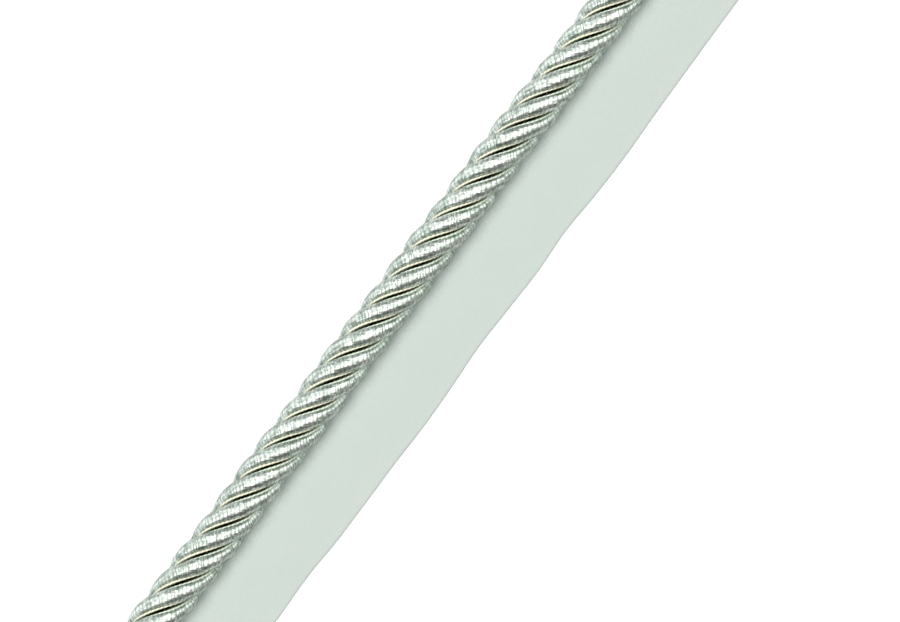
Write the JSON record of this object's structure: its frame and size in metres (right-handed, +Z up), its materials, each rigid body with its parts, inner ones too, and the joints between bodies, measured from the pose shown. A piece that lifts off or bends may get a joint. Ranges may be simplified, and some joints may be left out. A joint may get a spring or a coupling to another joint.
{
  "type": "lip cord",
  "caption": "Twisted shiny trimming cord sewn along one edge of a flat woven tape, in a straight cut length, for edging cushions, curtains and seams.",
  "frame": {"origin": "on the surface that the tape lies on, under the centre of the whole piece", "axes": "+X along the cord, +Z up away from the surface, and the tape reaches out from the cord towards -Y"},
  "size_m": [0.2, 0.026, 0.0111],
  "materials": {
    "cord_yarn": "silky sage-silver yarn wound round each ply, ribbed across",
    "groove_thread": "fine twisted cream thread",
    "tape_cloth": "matt close-woven sage-green tape"
  },
  "bodies": {
    "root": {"ply_1": "cord_yarn", "ply_2": "cord_yarn", "ply_3": "cord_yarn", "ply_4": "cord_yarn", "tape": "tape_cloth"}
  },
  "joints": []
}
